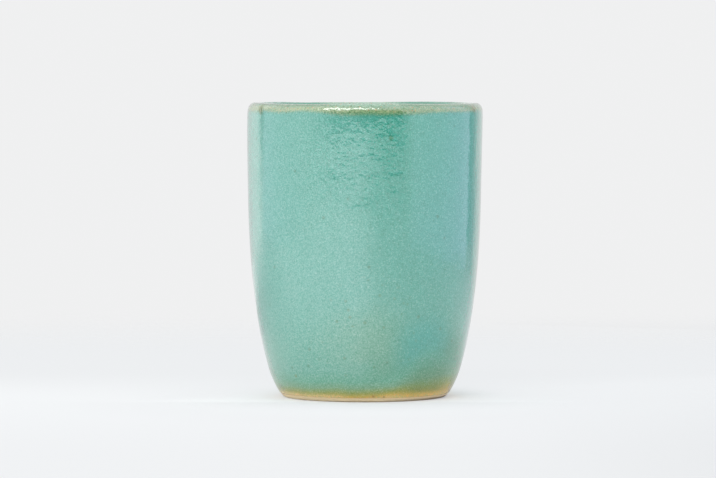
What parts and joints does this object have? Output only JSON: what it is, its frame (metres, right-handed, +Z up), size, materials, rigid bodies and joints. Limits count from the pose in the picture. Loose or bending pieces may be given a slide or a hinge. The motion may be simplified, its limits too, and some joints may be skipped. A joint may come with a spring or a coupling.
{
  "type": "stoneware tumbler",
  "caption": "Wheel-thrown stoneware cup without a handle: swelling wall, rounded lip, turned foot ring and blue-green glaze that breaks tan at the lip and ochre above a bare clay foot.",
  "frame": {"origin": "centre of the foot, on the surface that the cup stands on", "axes": "+Z up along the axis that the cup was thrown on, -Y towards the viewer of the picture"},
  "size_m": [0.0804, 0.0804, 0.1003],
  "materials": {
    "bare_clay": "unglazed buff stoneware, matt, with fine iron specks and turning marks",
    "outer_glaze": "glossy blue-green celadon glaze with soft mottling, ochre where it thins above the foot",
    "lip_glaze": "the same glaze run thin over the lip, breaking to tan and olive",
    "liner_glaze": "glossy blue-green glaze, deeper where it pooled on the floor"
  },
  "bodies": {
    "root": {"stoneware_body": "bare_clay", "outer_glaze": "outer_glaze", "lip_glaze": "lip_glaze", "liner_glaze": "liner_glaze"}
  },
  "joints": []
}
